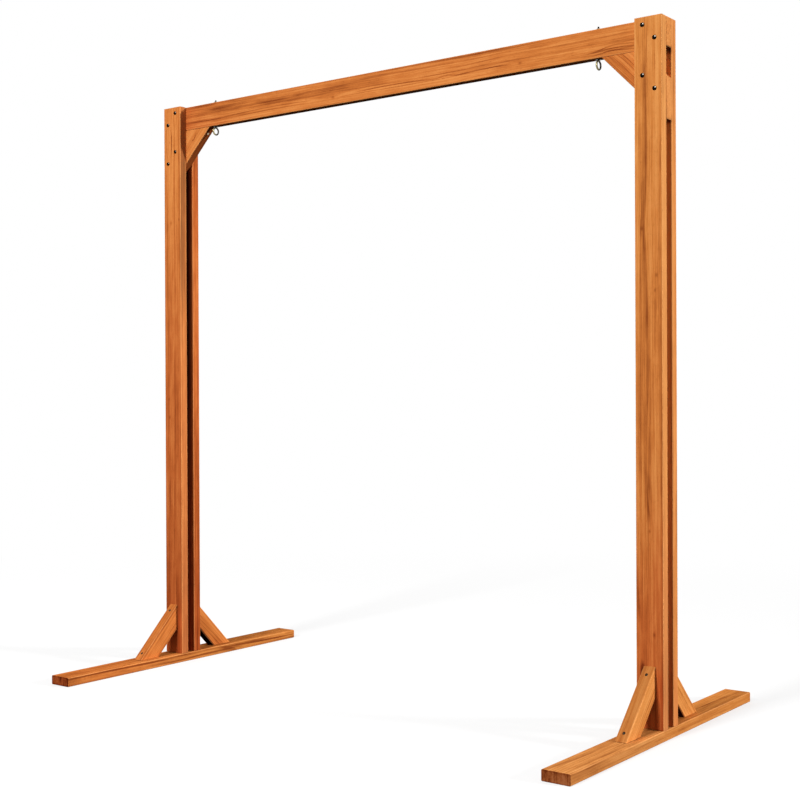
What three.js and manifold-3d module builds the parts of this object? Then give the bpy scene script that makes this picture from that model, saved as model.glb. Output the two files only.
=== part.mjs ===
// Free-standing wooden swing stand: two braced posts on floor runners, joined by a crossbeam
// that carries two hanging eyes. Millimetres, +Z up, +X along the beam to the right, -Y to the
// front. The origin is on the floor, under the middle of the crossbeam.

import * as THREE from 'three';
import { mergeVertices } from 'three/addons/utils/BufferGeometryUtils.js';
import Module from 'manifold-3d';

const wasm = await Module();
wasm.setup();

// Overall sizes. The post spacing is between the middles of the two posts
const postLength = 2102;
const postSpacing = 2015;
const runnerLength = 1192;

// Timber sections. Beam and knee braces fill the core between the two boards of each post
const postWidth = 89;
const postThickness = 32;
const coreThickness = 32;
const beamDepth = 89;
const kneeWidth = 89;
const runnerThickness = 32;
const footBraceWidth = 64;
const footBraceThickness = 38;
const easedEdge = 3;
const easedEnd = 1;

// How far a foot brace reaches up the post, and as far along the runner
const footBraceReach = 188;

// Clearances between pieces that touch, and all round a shank in its hole
const seatGap = 0.3;
const boreClearance = 0.3;

// Post bolts. Each bolt of a staggered pair stands one edge distance in from the timbers' edges,
// and the inner one is then moved a little towards the middle of the post
const boltDiameter = 6;
const boltHeadDiameter = 13.5;
const boltHeadHeight = 4;
const boltHeadRim = 0.8;
const boltEdgeDistance = 23;
const innerBoltShift = 4;
const kneeBoltLift = 3;
const boltEndLength = 4;
const endChamfer = 0.7;

// Washers and hex nuts. The eye bolts have the same washers, and thin nuts of the same width
const washerDiameter = 18;
const washerThickness = 1.6;
const nutWidth = 10;
const nutHeight = 5;
const nutFaceShare = 0.95;
const nutSides = 6;
const nutChamferAngle = Math.PI / 6;

// Eye bolts: a round rod with a closed ring at its lower end
const eyeRodDiameter = 6;
const eyeInnerDiameter = 20;
const eyeNeckDiameter = 9;
const eyeFromKneeTip = 18.5;
const eyeNutHeight = 3.2;
const eyeEndLength = 5;

// Countersunk wood screws
const screwDiameter = 4.5;
const screwHeadDiameter = 9;
const screwHeadDepth = 3.6;
const screwHeadLip = 0.6;
const screwTipLength = 7;
const screwSink = 0.3;
const screwEndDistance = 32;
const screwBiteShare = 0.7;
const postFootScrewBite = 60;
const postFootScrewSink = 1.2;

// Facets
const edgeFacets = 3;
const smallFacets = 12;
const roundFacets = 16;
const headFacets = 20;
const domeRings = 4;
const ringFacets = 28;
const rodFacets = 12;

// The beam is drawn in bays, so that the flat between the two eyes is a face of its own
const beamBays = 3;

// How far a cutting tool runs past the timber that it cuts
const overrun = 20;

// Levels and places that several pieces share
const postBase = runnerThickness + seatGap;
const postTop = postBase + postLength;
const beamUnderside = postTop - beamDepth;
const postFaceY = coreThickness / 2 + seatGap + postThickness;
const postBoardY = postFaceY - postThickness / 2;
const kneeTop = beamUnderside - seatGap;
const kneeCut = kneeWidth * Math.SQRT2;
const footBraceCut = footBraceWidth * Math.SQRT2;
const sideX = postSpacing / 2;

// The runner's sides are flush with the post's
const runnerWidth = postWidth;

const eyeInset = postWidth / 2 + kneeCut + eyeFromKneeTip;
const screwSlant = screwEndDistance * Math.SQRT1_2;
const screwBite = Math.min(postThickness, runnerThickness, coreThickness) * screwBiteShare;
const braceScrewLength = screwEndDistance + screwBite * Math.SQRT2 - screwSink;

const along = new THREE.Vector3(1, 0, 0);
const back = new THREE.Vector3(0, 1, 0);
const up = new THREE.Vector3(0, 0, 1);

function timber(colour) {
  return new THREE.MeshStandardMaterial({ color: colour, roughness: 0.55, metalness: 0 });
}

function darkSteel() {
  return new THREE.MeshStandardMaterial({ color: 0x1f1c19, roughness: 0.35, metalness: 0.85 });
}

function agedBrass() {
  return new THREE.MeshStandardMaterial({ color: 0x6f6440, roughness: 0.4, metalness: 0.9 });
}

// A closed solid of a geometry, with its doubled points merged and its flat triangles dropped
function solidOf(geometry) {
  const bare = geometry.index ? geometry.toNonIndexed() : geometry.clone();
  bare.deleteAttribute('normal');
  bare.deleteAttribute('uv');
  const merged = mergeVertices(bare);
  const index = merged.index.array;
  const kept = [];
  for (let i = 0; i < index.length; i += 3) {
    const [a, b, c] = [index[i], index[i + 1], index[i + 2]];
    if (a !== b && b !== c && c !== a) kept.push(a, b, c);
  }
  return new wasm.Manifold(new wasm.Mesh({
    numProp: 3,
    vertProperties: new Float32Array(merged.attributes.position.array),
    triVerts: new Uint32Array(kept),
  }));
}

function geometryOf(solid) {
  const { vertProperties, triVerts } = solid.getMesh();
  const geometry = new THREE.BufferGeometry();
  geometry.setAttribute('position', new THREE.BufferAttribute(vertProperties, 3));
  geometry.setIndex(new THREE.BufferAttribute(triVerts, 1));
  geometry.computeVertexNormals();
  return geometry;
}

function meshOf(name, material, solid, place) {
  const mesh = new THREE.Mesh(geometryOf(solid), material);
  mesh.name = name;
  mesh.applyMatrix4(place);
  return mesh;
}

// A turn and move that lays the local Y axis along a direction, starting at a point
function aimed(start, direction) {
  const turn = new THREE.Quaternion().setFromUnitVectors(back, direction);
  return new THREE.Matrix4().compose(start, turn, new THREE.Vector3(1, 1, 1));
}

// A turn and move that lays a board's length from start to end, its width along a direction
function laid(start, end, widthDirection) {
  const length = end.clone().sub(start).normalize();
  const thickness = length.clone().cross(widthDirection);
  return new THREE.Matrix4().makeBasis(widthDirection, thickness, length).setPosition(start);
}

// The section of a board: a rectangle with its four corners eased
function boardSection(width, thickness) {
  const [w, t, r] = [width / 2, thickness / 2, easedEdge];
  const shape = new THREE.Shape();
  shape.absarc(w - r, t - r, r, 0, Math.PI / 2);
  shape.absarc(r - w, t - r, r, Math.PI / 2, Math.PI);
  shape.absarc(r - w, r - t, r, Math.PI, Math.PI * 1.5);
  shape.absarc(w - r, r - t, r, Math.PI * 1.5, Math.PI * 2);
  shape.closePath();
  return shape;
}

// A board laid from start to end with its ends eased, less every tool that cuts or drills it
function board(name, material, section, start, end, widthDirection, tools, steps = 1) {
  const place = laid(start, end, widthDirection);
  const toBoard = place.clone().invert();
  const blank = new THREE.ExtrudeGeometry(section, {
    depth: start.distanceTo(end) - 2 * easedEnd,
    steps,
    curveSegments: edgeFacets,
    bevelThickness: easedEnd,
    bevelSize: easedEnd,
    bevelOffset: -easedEnd,
    bevelSegments: 1,
  });
  let solid = solidOf(blank.translate(0, 0, easedEnd));
  for (const tool of tools) {
    solid = solid.subtract(solidOf(tool.clone().applyMatrix4(toBoard)));
  }
  return meshOf(name, material, solid, place);
}

// A saw cut: all that lies in the box between two corners is removed
function sawCut(low, high) {
  const size = high.clone().sub(low);
  const middle = low.clone().add(high).multiplyScalar(0.5);
  return new THREE.BoxGeometry(size.x, size.y, size.z).translate(middle.x, middle.y, middle.z);
}

function latheOf(points, facets) {
  return new THREE.LatheGeometry(points.map(([radius, y]) => new THREE.Vector2(radius, y)), facets);
}

function drill(diameter, start, direction, length) {
  const radius = diameter / 2 + boreClearance;
  const bit = new THREE.CylinderGeometry(radius, radius, length, smallFacets);
  return bit.translate(0, length / 2, 0).applyMatrix4(aimed(start, direction));
}

// A dome head and round shank. The head seats at zero and the shank runs along +Y
function domeBolt(length) {
  const head = boltHeadDiameter / 2;
  const shank = boltDiameter / 2;
  const dome = boltHeadHeight - boltHeadRim;
  const points = [];
  for (let i = 0; i <= domeRings; i += 1) {
    const angle = (i / domeRings) * Math.PI / 2;
    points.push([head * Math.sin(angle), -boltHeadRim - dome * Math.cos(angle)]);
  }
  points.push([head, 0], [shank, 0], [shank, length - endChamfer], [shank - endChamfer, length]);
  points.push([0, length]);
  return solidOf(latheOf(points, headFacets));
}

function washer(holeDiameter) {
  const [inner, outer] = [holeDiameter / 2 + boreClearance, washerDiameter / 2];
  const ring = [[inner, 0], [outer, 0], [outer, washerThickness], [inner, washerThickness], [inner, 0]];
  return solidOf(latheOf(ring, roundFacets));
}

// A hex nut with both faces chamfered, along +Y from zero
function hexNut(holeDiameter, height) {
  const corner = nutWidth / Math.sqrt(3);
  const face = nutWidth / 2 * nutFaceShare;
  const chamfer = (corner - face) * Math.tan(nutChamferAngle);
  const hexagon = new THREE.CylinderGeometry(corner, corner, height, nutSides);
  const turned = latheOf([
    [0, 0], [face, 0], [corner, chamfer], [corner, height - chamfer], [face, height], [0, height],
  ], smallFacets);
  const bore = drill(holeDiameter, new THREE.Vector3(0, -overrun, 0), back, height + 2 * overrun);
  const blank = solidOf(hexagon.translate(0, height / 2, 0));
  return blank.intersect(solidOf(turned)).subtract(solidOf(bore));
}

// A countersunk screw along +Y, its head at zero. As a tool it is grown and runs on above its head
function screwShape(length, grown = 0, above = 0) {
  const head = screwHeadDiameter / 2 + grown;
  const shank = screwDiameter / 2 + grown;
  return latheOf([
    [0, -above], [head, -above], [head, screwHeadLip + grown], [shank, screwHeadDepth + grown],
    [shank, length - screwTipLength], [0, length + grown],
  ], smallFacets);
}

// A screw sunk into a face at a point: its own mesh, and the tool that makes its hole
function screw(name, point, direction, length, sink) {
  const place = aimed(point.clone().addScaledVector(direction, sink), direction);
  const mesh = meshOf(name, darkSteel(), solidOf(screwShape(length)), place);
  const tool = screwShape(length, boreClearance, sink + overrun).applyMatrix4(place);
  return { mesh, tool };
}

// A ring in the local XY plane with a neck and a straight rod up the Y axis from its top
function eyeBoltSolid(rodTop) {
  const rod = eyeRodDiameter / 2;
  const ringRadius = eyeInnerDiameter / 2 + rod;
  const crown = ringRadius + rod;
  const neck = eyeNeckDiameter / 2;
  const ring = new THREE.TorusGeometry(ringRadius, rod, rodFacets, ringFacets);
  const shank = latheOf([
    [0, ringRadius], [neck, ringRadius], [rod, crown], [rod, rodTop - endChamfer],
    [rod - endChamfer, rodTop], [0, rodTop],
  ], roundFacets);
  return solidOf(ring).add(solidOf(shank));
}

// Where the four bolts cross a post, in the side frame's own X and Z. The inner bolt of each
// pair is the upper one
function boltPlaces(side) {
  const across = postWidth / 2 - boltEdgeDistance;
  const kneeMiddle = kneeTop - (postWidth + kneeCut) / 2 + kneeBoltLift;
  const pairs = [
    { pair: 'beam', middle: postTop - beamDepth / 2, rise: beamDepth / 2 - boltEdgeDistance },
    { pair: 'knee', middle: kneeMiddle, rise: across },
  ];
  return pairs.flatMap(({ pair, middle, rise }) => [
    { name: `${pair}_bolt_inner`, x: side * (innerBoltShift - across), z: middle + rise },
    { name: `${pair}_bolt_outer`, x: side * across, z: middle - rise },
  ]);
}

// A post bolt with its washer and nut, and the drill that clears its hole
function postBolt(name, x, z) {
  const washerY = postFaceY + seatGap;
  const nutY = washerY + washerThickness + seatGap;
  const length = nutY + nutHeight + boltEndLength + postFaceY + seatGap;
  const at = (y) => aimed(new THREE.Vector3(x, y, z), back);
  const start = new THREE.Vector3(x, -postFaceY - overrun, z);
  return {
    meshes: [
      meshOf(name, darkSteel(), domeBolt(length), at(-postFaceY - seatGap)),
      meshOf(`${name}_washer`, darkSteel(), washer(boltDiameter), at(washerY)),
      meshOf(`${name}_nut`, darkSteel(), hexNut(boltDiameter, nutHeight), at(nutY)),
    ],
    tool: drill(boltDiameter, start, back, 2 * (postFaceY + overrun)),
  };
}

// The 45 degree brace between post and beam. Its upper edge meets the beam at the post's inner
// edge, and its lower end is cut flush with the post's outer edge
function kneeBrace(name, side, colour, tools) {
  const slope = new THREE.Vector3(side, 0, -1).normalize();
  const across = new THREE.Vector3(side, 0, 1).normalize();
  const middle = new THREE.Vector3(-side * (postWidth + kneeCut) / 2, 0, kneeTop);
  const start = middle.clone().addScaledVector(slope, -kneeWidth);
  const end = middle.clone().addScaledVector(slope, kneeWidth + (postWidth + kneeCut) * Math.SQRT2);
  const far = kneeWidth + kneeCut + postWidth;
  const outer = side * postWidth / 2;
  const topCut = sawCut(
    new THREE.Vector3(-far, -far, kneeTop),
    new THREE.Vector3(far, far, kneeTop + far),
  );
  const endCut = sawCut(
    new THREE.Vector3(Math.min(outer, outer + side * far), -far, kneeTop - 2 * far),
    new THREE.Vector3(Math.max(outer, outer + side * far), far, kneeTop + far),
  );
  const section = boardSection(kneeWidth, coreThickness);
  return board(name, timber(colour), section, start, end, across, [topCut, endCut, ...tools]);
}

// The 45 degree brace between runner and post, cut upright at the post and level at the runner
function footBrace(name, front, colour, tools) {
  const faceY = front * (postFaceY + seatGap);
  const slope = new THREE.Vector3(0, front, -1).normalize();
  const across = new THREE.Vector3(0, front, 1).normalize();
  const inset = footBraceReach - footBraceCut / 2;
  const middle = new THREE.Vector3(0, front * postFaceY, runnerThickness + inset);
  const start = middle.clone().addScaledVector(slope, -footBraceWidth);
  const end = middle.clone().addScaledVector(slope, footBraceWidth + inset * Math.SQRT2);
  const far = 2 * footBraceReach;
  const postCut = sawCut(
    new THREE.Vector3(-far, Math.min(faceY, faceY - front * far), -far),
    new THREE.Vector3(far, Math.max(faceY, faceY - front * far), far + footBraceReach),
  );
  const runnerCut = sawCut(
    new THREE.Vector3(-far, -far, -far),
    new THREE.Vector3(far, far, postBase),
  );
  const section = boardSection(footBraceWidth, footBraceThickness);
  return board(name, timber(colour), section, start, end, across, [postCut, runnerCut, ...tools]);
}

// The two screws in the sloping face of a foot brace
function footBraceScrews(name, front) {
  const inward = new THREE.Vector3(0, -front, -1).normalize();
  const reach = footBraceReach - screwSlant;
  const upper = new THREE.Vector3(0, front * (postFaceY + screwSlant), runnerThickness + reach);
  const lower = new THREE.Vector3(0, front * (postFaceY + reach), runnerThickness + screwSlant);
  return [
    screw(`${name}_upper_screw`, upper, inward, braceScrewLength, screwSink),
    screw(`${name}_lower_screw`, lower, inward, braceScrewLength, screwSink),
  ];
}

// The screw near the tip of a knee brace, through its sloping underside into the beam
function kneeScrew(name, side) {
  const inward = new THREE.Vector3(side, 0, 1).normalize();
  const x = side * (screwSlant - kneeCut - postWidth / 2);
  return screw(name, new THREE.Vector3(x, 0, kneeTop - screwSlant), inward, braceScrewLength, screwSink);
}

// The long screw up through the runner into the foot of one post board
function postFootScrew(name, boardY) {
  const length = postBase + postFootScrewBite - postFootScrewSink;
  return screw(name, new THREE.Vector3(0, boardY, 0), up, length, postFootScrewSink);
}

// One side of the stand, in a frame whose origin is on the floor under the middle of its post
function sideFrame(sideName, side, colours) {
  const frame = new THREE.Group();
  const bolts = boltPlaces(side).map(({ name, x, z }) => postBolt(`${name}_${sideName}`, x, z));
  const knee = kneeScrew(`knee_brace_${sideName}_screw`, side);
  const ends = [{ end: 'front', front: -1 }, { end: 'rear', front: 1 }].map(({ end, front }) => ({
    end,
    front,
    screws: footBraceScrews(`foot_brace_${end}_${sideName}`, front),
    foot: postFootScrew(`post_foot_screw_${end}_${sideName}`, front * postBoardY),
  }));
  const tools = [
    ...bolts.map(({ tool }) => tool),
    knee.tool,
    ...ends.flatMap(({ screws, foot }) => [...screws, foot].map(({ tool }) => tool)),
  ];
  for (const { end, front, screws, foot } of ends) {
    const y = front * postBoardY;
    const low = new THREE.Vector3(0, y, postBase);
    const high = new THREE.Vector3(0, y, postTop);
    const section = boardSection(postWidth, postThickness);
    frame.add(
      board(`post_board_${end}_${sideName}`, timber(colours[end]), section, low, high, along, tools),
      footBrace(`foot_brace_${end}_${sideName}`, front, colours.brace, tools),
      foot.mesh,
      ...screws.map(({ mesh }) => mesh),
    );
  }
  const runnerRear = new THREE.Vector3(0, runnerLength / 2, runnerThickness / 2);
  const runnerFront = new THREE.Vector3(0, -runnerLength / 2, runnerThickness / 2);
  const runnerSection = boardSection(runnerWidth, runnerThickness);
  const runnerTimber = timber(colours.runner);
  frame.add(
    board(`floor_runner_${sideName}`, runnerTimber, runnerSection, runnerRear, runnerFront, along, tools),
    kneeBrace(`knee_brace_${sideName}`, side, colours.knee, tools),
    knee.mesh,
    ...bolts.flatMap(({ meshes }) => meshes),
  );
  frame.position.x = side * sideX;
  return { frame, tools: tools.map((tool) => tool.clone().translate(side * sideX, 0, 0)) };
}

// An eye bolt hung through the beam, washers on both sides and a nut on top
function eyeBolt(sideName, side) {
  const crown = eyeInnerDiameter / 2 + eyeRodDiameter;
  const lowWasherZ = beamUnderside - seatGap - washerThickness;
  const ringZ = lowWasherZ - seatGap - crown;
  const topWasherZ = postTop + seatGap;
  const nutZ = topWasherZ + washerThickness + seatGap;
  const rodTop = nutZ + eyeNutHeight + eyeEndLength - ringZ;
  const name = `eye_bolt_${sideName}`;
  const group = new THREE.Group();
  const hung = new THREE.Matrix4().makeBasis(back, up, along).setPosition(0, 0, ringZ);
  const at = (z) => aimed(new THREE.Vector3(0, 0, z), up);
  group.add(
    meshOf(name, agedBrass(), eyeBoltSolid(rodTop), hung),
    meshOf(`${name}_lower_washer`, darkSteel(), washer(eyeRodDiameter), at(lowWasherZ)),
    meshOf(`${name}_top_washer`, darkSteel(), washer(eyeRodDiameter), at(topWasherZ)),
    meshOf(`${name}_nut`, darkSteel(), hexNut(eyeRodDiameter, eyeNutHeight), at(nutZ)),
  );
  group.position.x = side * (sideX - eyeInset);
  const start = new THREE.Vector3(group.position.x, 0, beamUnderside - overrun);
  return { group, tool: drill(eyeRodDiameter, start, up, beamDepth + 2 * overrun) };
}

const rightColours = { front: 0xc4793a, rear: 0xca8346, brace: 0xcb8044, runner: 0xcc8548, knee: 0xc67232 };
const leftColours = { front: 0xbd6630, rear: 0xc8713e, brace: 0xcb743c, runner: 0xc9763d, knee: 0xd57c40 };

const stand = new THREE.Group();
const right = sideFrame('right', 1, rightColours);
const left = sideFrame('left', -1, leftColours);
const eyes = [eyeBolt('right', 1), eyeBolt('left', -1)];
const beamHalf = sideX + postWidth / 2;
const beamZ = postTop - beamDepth / 2;
stand.add(
  right.frame,
  left.frame,
  ...eyes.map(({ group }) => group),
  board(
    'crossbeam',
    timber(0xc8763a),
    boardSection(beamDepth, coreThickness),
    new THREE.Vector3(-beamHalf, 0, beamZ),
    new THREE.Vector3(beamHalf, 0, beamZ),
    up,
    [...right.tools, ...left.tools, ...eyes.map(({ tool }) => tool)],
    beamBays,
  ),
);

export default stand;
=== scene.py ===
"""Dresses a free-standing wooden swing stand: stained timber, dark bolts, brass eyes and a pale studio.

Metres, +Z up, +X along the crossbeam to the right, -Y to the front, with the origin on the floor under
the middle of the beam. Each timber is a rounded outline carried through the thickness of its board. Each
fastener is a profile turned about its own axis, and each eye bolt has a ring under its rod. Places and
lengths are read from the frame's nodes.
"""

import math
from collections import namedtuple
from dataclasses import dataclass, field

import bpy
import numpy as np
from mathutils import Matrix, Vector


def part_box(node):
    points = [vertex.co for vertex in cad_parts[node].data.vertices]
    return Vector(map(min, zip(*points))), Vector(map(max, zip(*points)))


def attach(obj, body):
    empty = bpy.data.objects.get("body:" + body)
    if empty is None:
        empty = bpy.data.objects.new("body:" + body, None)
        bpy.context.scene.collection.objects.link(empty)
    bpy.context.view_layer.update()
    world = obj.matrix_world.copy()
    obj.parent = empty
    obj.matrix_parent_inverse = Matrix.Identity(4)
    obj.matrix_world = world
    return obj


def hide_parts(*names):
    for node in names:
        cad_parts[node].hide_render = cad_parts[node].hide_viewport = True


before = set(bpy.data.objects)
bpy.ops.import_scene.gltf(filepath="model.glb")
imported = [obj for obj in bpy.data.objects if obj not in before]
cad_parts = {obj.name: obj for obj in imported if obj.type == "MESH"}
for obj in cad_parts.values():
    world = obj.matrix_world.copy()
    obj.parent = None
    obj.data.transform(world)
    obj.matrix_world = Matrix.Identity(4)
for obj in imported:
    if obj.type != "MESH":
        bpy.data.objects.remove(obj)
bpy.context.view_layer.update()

MM = 0.001
UP, ACROSS, BACK = Vector((0, 0, 1)), Vector((1, 0, 0)), Vector((0, 1, 0))
SIDES = {"right": 1, "left": -1}
ENDS = {"front": -1, "rear": 1}

# Timber: how far the long edges and the sawn ends are eased
EASED_EDGE = 3 * MM
EASED_END = 1 * MM
EASED_CUT = 0.6 * MM
CORNER = 0.8 * MM
SUPPORT = 1.5 * MM
EDGE_STEPS = 5
CORNER_STEPS = 3
FOOT_BRACE_WIDTH = 64 * MM

# Fasteners
BOLT = 6 * MM
BOLT_HEAD = 13.5 * MM
BOLT_HEAD_HEIGHT = 4 * MM
BOLT_HEAD_RIM = 0.8 * MM
CROWN_STEPS = 9
BORE_CLEARANCE = 0.3 * MM
THREAD_PITCH = 1 * MM
THREAD_DEPTH = 0.5 * MM
THREAD_LENGTH = 17 * MM
THREAD_CHAMFER = 0.7 * MM
NUT_WIDTH = 10 * MM
NUT_CHAMFER = 0.6 * MM
CHAMFER_STEPS = 5
NUT_FACE = 0.96
SCREW = 4.5 * MM
SCREW_HEAD = 9 * MM
SCREW_HEAD_DEPTH = 3.6 * MM
SCREW_HEAD_LIP = 0.6 * MM
SCREW_HEAD_EASE = 0.15 * MM
SCREW_FACE = 0.95
SCREW_TIP = 7 * MM
HEAD_STEPS = 14
SHANK_STEPS = 60
RECESS_DEPTH = 1.6 * MM
RECESS_REACH = 0.6
RECESS_END = 0.5 * MM
RECESS_ARM = 0.72 * MM
RECESS_WALL = 0.45 * MM
EYE_ROD = 6 * MM
EYE_NECK = 9 * MM
NECK_STEPS = 7
RING_STEPS = 64
ROD_STEPS = 20
TURN_STEPS = 48
TURN = np.arange(TURN_STEPS) * (2 * math.pi / TURN_STEPS)
SHARP_ANGLE = math.radians(33)


# Meshes and objects


def smoothed(mesh):
    """A mesh, shaded smooth but for its sharp edges."""
    mesh.shade_smooth()
    mesh.set_sharp_from_angle(angle=SHARP_ANGLE)
    return mesh


def mesh_of(name, points, faces):
    """A mesh of an array of points and lists of corner numbers."""
    mesh = bpy.data.meshes.new(name)
    mesh.from_pydata(np.asarray(points, float).reshape(-1, 3).tolist(), [], faces)
    mesh.update()
    return smoothed(mesh)


def added(name, data):
    """An object of some data, in the scene."""
    made = bpy.data.objects.new(name, data)
    bpy.context.scene.collection.objects.link(made)
    return made


def grid_faces(rows, columns, wrap_rows=False):
    """The quads of a grid of points whose columns close on themselves, and whose rows may."""
    row = np.arange(rows if wrap_rows else rows - 1)[:, None]
    column = np.arange(columns)[None, :]
    after, beside = (row + 1) % rows, (column + 1) % columns
    here, onward = row * columns, after * columns
    corners = [here + column, here + beside, onward + beside, onward + column]
    return np.stack(corners, -1).reshape(-1, 4).tolist()


def placed(points, origin, axes):
    """Points in a piece's own three axes, moved to the row frame."""
    return np.asarray(points, float) @ np.array(axes, float) + np.array(origin, float)


def piece_of(name, mesh, material, node):
    """The shown piece that stands for a node of the frame, in a given finish, with the node's own part
    hidden.
    """
    piece = added(name, mesh)
    mesh.materials.clear()
    mesh.materials.append(material)
    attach(piece, "root")
    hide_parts(node)
    return piece


Extent = namedtuple("Extent", "low high middle size")


def extent(node):
    """A node's box, by its low and high corners, its middle and its size."""
    low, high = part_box(node)
    return Extent(low, high, (low + high) / 2, high - low)


# Timber shapes


def rounded_outline(corners, insets):
    """A closed outline of straight sides whose corners are arcs.

    Each side, from its corner to the next, is first moved inwards by its inset. Two neighbouring sides
    then meet where both their line equations hold, and an arc tangent to both rounds that corner. A
    point a little way along each side keeps the flat next to the arc flat.
    """
    corners = np.asarray(corners, float)
    insets = np.asarray(insets, float)
    forward = np.roll(corners, -1, 0) - corners
    forward /= np.linalg.norm(forward, axis=1, keepdims=True)
    inward = np.stack([-forward[:, 1], forward[:, 0]], 1)
    level = (inward * corners).sum(1) + insets
    before = np.roll(inward, 1, 0)
    lines = np.stack([before, inward], 1)
    meets = np.linalg.solve(lines, np.stack([np.roll(level, 1), level], 1)[..., None])[..., 0]
    arriving = np.roll(forward, 1, 0)
    cross = arriving[:, 0] * forward[:, 1] - arriving[:, 1] * forward[:, 0]
    turn = np.arctan2(cross, (arriving * forward).sum(1))
    tangent = CORNER * np.tan(turn / 2)
    first = meets - arriving * tangent[:, None]
    centre = first + before * CORNER
    start = np.arctan2(-before[:, 1], -before[:, 0])
    angle = start[:, None] + turn[:, None] * np.linspace(0, 1, CORNER_STEPS + 1)
    arc = centre[:, None] + CORNER * np.stack([np.cos(angle), np.sin(angle)], -1)
    lead = (first - arriving * SUPPORT)[:, None]
    trail = (arc[:, -1] + forward * SUPPORT)[:, None]
    return np.concatenate([lead, arc, trail], 1).reshape(-1, 2)


def board_points(corners, eased, thickness):
    """The surface of a board: its outline carried through its thickness, with eased edges.

    At an angle from 0 on the face to a right angle on the side, a side of the outline is inset by its
    easing times one less the sine, and the ring lies below the face by the edge radius times one less
    the cosine. One more ring beyond each end of the arc keeps the faces and the sides flat.
    """
    angle = np.linspace(0, math.pi / 2, EDGE_STEPS + 1)
    eased = np.asarray(eased, float)
    insets = [eased + SUPPORT] + [eased * (1 - math.sin(a)) for a in angle] + [eased * 0]
    fall = np.concatenate([[0], EASED_EDGE * (1 - np.cos(angle)), [EASED_EDGE + SUPPORT]])
    rings = np.stack([rounded_outline(corners, inset) for inset in insets])
    height = np.concatenate([thickness / 2 - fall, fall[::-1] - thickness / 2])
    rings = np.concatenate([rings, rings[::-1]])
    level = np.broadcast_to(height[:, None, None], (*rings.shape[:2], 1))
    return np.concatenate([rings, level], -1)


def board_mesh(name, corners, eased, thickness, origin, axes):
    """A closed board. The corners go round its outline anticlockwise in the first two of its axes."""
    points = board_points(corners, eased, thickness)
    rows, columns = points.shape[:2]
    faces = [face[::-1] for face in grid_faces(rows, columns)]
    faces.append(list(range(columns)))
    faces.append(list(range((rows - 1) * columns, rows * columns))[::-1])
    return mesh_of(name, placed(points, origin, axes), faces)


def combined(name, first, second, operation):
    """One plain mesh of two, by an exact boolean."""
    body, tool = added(name, first), added("tool", second)
    boolean = body.modifiers.new("boolean", "BOOLEAN")
    boolean.operation, boolean.solver, boolean.object = operation, "EXACT", tool
    bpy.context.view_layer.update()
    result = bpy.data.meshes.new_from_object(body.evaluated_get(bpy.context.evaluated_depsgraph_get()))
    for made in (body, tool):
        bpy.data.objects.remove(made)
    result.name = name
    return smoothed(result)


def drilled(mesh, cutters):
    """The board less every cutter."""
    return combined(f"{mesh.name}_drilled", mesh, joined("drill", cutters), "DIFFERENCE")


def joined(name, shapes):
    """One mesh of several (points, faces) shapes."""
    points, faces, count = [], [], 0
    for shape_points, shape_faces in shapes:
        points.append(np.asarray(shape_points, float).reshape(-1, 3))
        faces += [[corner + count for corner in face] for face in shape_faces]
        count += len(points[-1])
    return mesh_of(name, np.concatenate(points), faces)


# Turned and threaded work


def axes_along(direction):
    """Three axes of a turned piece, the last one along a direction."""
    along = Vector(direction).normalized()
    aside = along.orthogonal().normalized()
    return [aside, along.cross(aside), along]


def turned(radius, height, origin, direction, closed=False):
    """A surface turned about an axis: at each height, a circle whose radius may vary round it.

    The radius is an array of one row for each height and one column for each angle, or one column for
    a plain circle. Unless the profile closes on itself, its first and last points are on the axis.
    """
    radius = np.broadcast_to(radius, (len(height), TURN_STEPS))
    level = np.broadcast_to(np.asarray(height, float)[:, None], radius.shape)
    points = np.stack([radius * np.cos(TURN), radius * np.sin(TURN), level], -1)
    axes = axes_along(direction)
    if closed:
        return placed(points, origin, axes).reshape(-1, 3), grid_faces(*radius.shape, wrap_rows=True)
    inner = points[1:-1]
    rows = len(inner)
    faces = grid_faces(rows, TURN_STEPS)
    low, high = rows * TURN_STEPS, rows * TURN_STEPS + 1
    column = np.arange(TURN_STEPS)
    beside = (column + 1) % TURN_STEPS
    last = (rows - 1) * TURN_STEPS
    faces += np.stack([np.full_like(column, low), beside, column], -1).tolist()
    faces += np.stack([np.full_like(column, high), last + column, last + beside], -1).tolist()
    ends = [[0, 0, height[0]], [0, 0, height[-1]]]
    flat = np.concatenate([inner.reshape(-1, 3), ends])
    return placed(flat, origin, axes), faces


def threaded(radius, height, begins, ends):
    """Cuts a screw thread into the stretch of a profile between two heights.

    The cut is deepest where height over pitch, less the share of a turn, is a whole number, and it
    fades in over the first pitch.
    """
    share = np.arange(TURN_STEPS) / TURN_STEPS
    height = np.asarray(height, float)
    phase = height[:, None] / THREAD_PITCH - share
    flank = 2 * np.abs(phase - np.floor(phase) - 0.5)
    fade = np.clip((height - begins) / THREAD_PITCH, 0, 1) * (height < ends)
    return np.asarray(radius, float)[:, None] - THREAD_DEPTH * flank * fade[:, None]


def profile(*stretches):
    """A profile's radii and heights, as two arrays, from stretches of (radius, height) points."""
    points = np.concatenate([np.asarray(stretch, float).reshape(-1, 2) for stretch in stretches])
    return points[:, 0], points[:, 1]


def rod_end(rod, start, top):
    """A rod's profile from a height to its chamfered, threaded top, with eight points to each pitch."""
    body = np.linspace(top - THREAD_LENGTH, top - THREAD_CHAMFER, int(8 * THREAD_LENGTH / THREAD_PITCH))
    return [
        [(rod, start)],
        np.stack([np.full_like(body, rod), body], 1),
        [(rod - THREAD_CHAMFER, top), (0, top)],
    ]


# Finishes


def arithmetic(operation, reflected=False):
    """An operator of Reading, which puts its two numbers into a Math node, swapped where reflected."""
    def method(self, other):
        values = (other, self) if reflected else (self, other)
        return self.finish.sum(operation, *values)
    return method


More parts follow.
